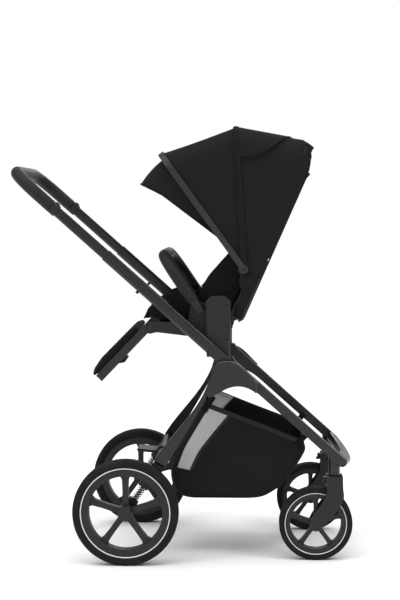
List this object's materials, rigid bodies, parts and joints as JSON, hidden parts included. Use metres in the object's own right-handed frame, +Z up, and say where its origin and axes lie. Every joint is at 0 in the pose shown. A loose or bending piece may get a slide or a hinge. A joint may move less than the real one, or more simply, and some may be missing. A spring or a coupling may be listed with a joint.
{
  "type": "baby stroller",
  "caption": "Parent-facing baby stroller with folding A-frame chassis, four wheels, swivelling castors, reclining padded seat, bumper bar, canopy and cloth basket.",
  "frame": {"origin": "on the floor, midway between the rearmost point of the handlebar and the nose of the front bow, on the middle plane", "axes": "+X is the driving direction, +Y the stroller's left, +Z up"},
  "size_m": [0.9232, 0.589, 1.1591],
  "materials": {
    "frame": "satin powder coat",
    "frame_gloss": "semi-gloss paint",
    "plastic": "fine grain",
    "gloss_plastic": "smooth, semi-gloss",
    "rim": "satin moulded plastic",
    "tyre": "matt foam rubber",
    "leather": "grained imitation leather",
    "steel": "zinc plated",
    "fabric": "woven polyester",
    "webbing": "woven webbing"
  },
  "bodies": {
    "chassis": {"side_frames": "frame", "front_bow": "frame_gloss", "seat_receivers": "plastic", "fold_pins": "steel", "basket": "fabric", "basket_board": "plastic", "basket_straps": "webbing"},
    "rear_frame": {"rear_legs": "frame", "strut_housings": "plastic", "rear_cross_tube": "frame"},
    "brake": {"brake_pedal": "plastic"},
    "strut_right": {"axle_carrier_right": "plastic", "strut_spring_right": "steel"},
    "strut_left": {"axle_carrier_left": "plastic", "strut_spring_left": "steel"},
    "rear_wheel_right": {"rear_tyre_right": "tyre", "rear_rim_right": "rim", "rear_hub_cap_right": "rim"},
    "rear_wheel_left": {"rear_tyre_left": "tyre", "rear_rim_left": "rim", "rear_hub_cap_left": "rim"},
    "castor_right": {"castor_fork_right": "plastic"},
    "castor_left": {"castor_fork_left": "plastic"},
    "front_wheel_right": {"front_tyre_right": "tyre", "front_rim_right": "rim"},
    "front_wheel_left": {"front_tyre_left": "tyre", "front_rim_left": "rim"},
    "lock_right": {"swivel_lock_right": "plastic"},
    "lock_left": {"swivel_lock_left": "plastic"},
    "handle": {"handle_tubes": "frame", "tube_fittings": "plastic"},
    "handlebar": {"handlebar_legs": "frame", "grip_collars": "plastic", "handle_grip": "leather"},
    "height_button": {"height_buttons": "plastic"},
    "seat": {"seat_adapters": "plastic", "seat_rails": "plastic", "seat_base": "plastic", "bumper_sockets": "plastic", "seat_pad": "fabric", "harness_buckle": "gloss_plastic"},
    "release": {"release_levers": "plastic"},
    "buckle_press": {"buckle_button": "gloss_plastic"},
    "bumper": {"bumper_bar": "leather"},
    "bumper_press_right": {"bumper_button_right": "plastic"},
    "bumper_press_left": {"bumper_button_left": "plastic"},
    "footrest": {"footrest_frame": "frame", "footrest_pad": "fabric"},
    "footrest_catch": {"footrest_latch": "plastic"},
    "backrest": {"back_frame": "frame", "back_panel": "plastic", "back_pad": "fabric", "canopy_brackets": "plastic", "harness_straps": "webbing", "canopy_rear_panel": "fabric"},
    "recline_catch": {"recline_handle": "plastic"},
    "hood_mid": {"canopy_mid_bow": "fabric", "canopy_front_panel": "fabric"},
    "hood_front": {"canopy_front_bow": "gloss_plastic"},
    "visor": {"canopy_visor": "fabric"}
  },
  "joints": [
    {"name": "frame_fold", "type": "hinge", "parent": "chassis", "child": "handle", "pos_m": [0.11353, 0, 0.524], "axis": [0, 1, 0], "range_deg": [0, 150]},
    {"name": "rear_leg_fold", "type": "hinge", "parent": "chassis", "child": "rear_frame", "pos_m": [0.11353, 0, 0.524], "axis": [0, 1, 0], "range_deg": [-60, 0], "deforming": ["basket", "basket_board", "basket_straps"]},
    {"name": "handle_height", "type": "slide", "parent": "handle", "child": "handlebar", "axis": [-0.7466, 0, 0.6652], "range_m": [-0.12, 0]},
    {"name": "height_button_press", "type": "slide", "parent": "handlebar", "child": "height_button", "axis": [-0.6652, 0, -0.7466], "range_m": [0, 0.0025], "stiffness_N_per_m": 300, "springref_m": -0.001},
    {"name": "seat_lift_off", "type": "slide", "parent": "chassis", "child": "seat", "axis": [0, 0, 1], "range_m": [0, 0.15]},
    {"name": "seat_release_pull", "type": "slide", "parent": "seat", "child": "release", "axis": [0, 0, 1], "range_m": [0, 0.005], "stiffness_N_per_m": 300, "springref_m": -0.001},
    {"name": "buckle_press", "type": "slide", "parent": "seat", "child": "buckle_press", "axis": [0, 0, -1], "range_m": [0, 0.0025], "stiffness_N_per_m": 300, "springref_m": -0.001},
    {"name": "bumper_pull_out", "type": "slide", "parent": "seat", "child": "bumper", "axis": [-0.5621, 0, 0.8271], "range_m": [0, 0.05]},
    {"name": "bumper_button_right_press", "type": "slide", "parent": "bumper", "child": "bumper_press_right", "axis": [0, 1, 0], "range_m": [0, 0.0025], "stiffness_N_per_m": 300, "springref_m": -0.001},
    {"name": "bumper_button_left_press", "type": "slide", "parent": "bumper", "child": "bumper_press_left", "axis": [0, -1, 0], "range_m": [0, 0.0025], "stiffness_N_per_m": 300, "springref_m": -0.001},
    {"name": "backrest_recline", "type": "hinge", "parent": "seat", "child": "backrest", "pos_m": [0.10753, 0, 0.64], "axis": [0, 1, 0], "range_deg": [0, 45]},
    {"name": "recline_catch_pull", "type": "slide", "parent": "backrest", "child": "recline_catch", "axis": [0.4035, 0, 0.915], "range_m": [0, 0.006], "stiffness_N_per_m": 300, "springref_m": -0.001},
    {"name": "canopy_mid_fold", "type": "hinge", "parent": "backrest", "child": "hood_mid", "pos_m": [0.16553, 0, 0.776], "axis": [0, 1, 0], "range_deg": [0, 24], "deforming": ["canopy_rear_panel", "canopy_front_panel"]},
    {"name": "canopy_front_fold", "type": "hinge", "parent": "hood_mid", "child": "hood_front", "pos_m": [0.16553, 0, 0.776], "axis": [0, 1, 0], "range_deg": [0, 24]},
    {"name": "visor_flip", "type": "hinge", "parent": "hood_front", "child": "visor", "pos_m": [0.09029, 0, 0.87955], "axis": [0, 1, 0], "range_deg": [0, 14]},
    {"name": "footrest_angle", "type": "hinge", "parent": "seat", "child": "footrest", "pos_m": [-0.08547, 0, 0.619], "axis": [0, 1, 0], "range_deg": [-25, 45]},
    {"name": "footrest_catch_pull", "type": "slide", "parent": "footrest", "child": "footrest_catch", "axis": [0.6896, 0, 0.7242], "range_m": [0, 0.005], "stiffness_N_per_m": 300, "springref_m": -0.001},
    {"name": "castor_right_swivel", "type": "hinge", "parent": "chassis", "child": "castor_right", "pos_m": [0.40753, -0.187, 0.2268], "axis": [0, 0, 1], "continuous": true},
    {"name": "front_wheel_right_spin", "type": "hinge", "parent": "castor_right", "child": "front_wheel_right", "pos_m": [0.35853, -0.187, 0.098], "axis": [0, 1, 0], "continuous": true},
    {"name": "swivel_lock_right", "type": "hinge", "parent": "castor_right", "child": "lock_right", "pos_m": [0.39303, -0.187, 0.2188], "axis": [0, 1, 0], "range_deg": [0, 20]},
    {"name": "suspension_right", "type": "slide", "parent": "rear_frame", "child": "strut_right", "axis": [0.5854, 0, 0.8108], "range_m": [0, 0.012], "stiffness_N_per_m": 6000, "springref_m": -0.012, "deforming": ["strut_spring_right"]},
    {"name": "rear_wheel_right_spin", "type": "hinge", "parent": "strut_right", "child": "rear_wheel_right", "pos_m": [-0.14447, -0.2685, 0.14], "axis": [0, 1, 0], "continuous": true},
    {"name": "castor_left_swivel", "type": "hinge", "parent": "chassis", "child": "castor_left", "pos_m": [0.40753, 0.187, 0.2268], "axis": [0, 0, 1], "continuous": true},
    {"name": "front_wheel_left_spin", "type": "hinge", "parent": "castor_left", "child": "front_wheel_left", "pos_m": [0.35853, 0.187, 0.098], "axis": [0, 1, 0], "continuous": true},
    {"name": "swivel_lock_left", "type": "hinge", "parent": "castor_left", "child": "lock_left", "pos_m": [0.39303, 0.187, 0.2188], "axis": [0, 1, 0], "range_deg": [0, 20]},
    {"name": "suspension_left", "type": "slide", "parent": "rear_frame", "child": "strut_left", "axis": [0.5854, 0, 0.8108], "range_m": [0, 0.012], "stiffness_N_per_m": 6000, "springref_m": -0.012, "deforming": ["strut_spring_left"]},
    {"name": "rear_wheel_left_spin", "type": "hinge", "parent": "strut_left", "child": "rear_wheel_left", "pos_m": [-0.14447, 0.2685, 0.14], "axis": [0, 1, 0], "continuous": true},
    {"name": "brake_press", "type": "hinge", "parent": "rear_frame", "child": "brake", "pos_m": [-0.06087, 0, 0.26334], "axis": [0, 1, 0], "range_deg": [-18, 0]}
  ],
  "couplings": [
    {"joint": "rear_leg_fold", "follows": "frame_fold", "ratio": -0.4},
    {"joint": "canopy_front_fold", "follows": "canopy_mid_fold", "ratio": 1},
    {"joint": "bumper_button_left_press", "follows": "bumper_button_right_press", "ratio": 1}
  ]
}
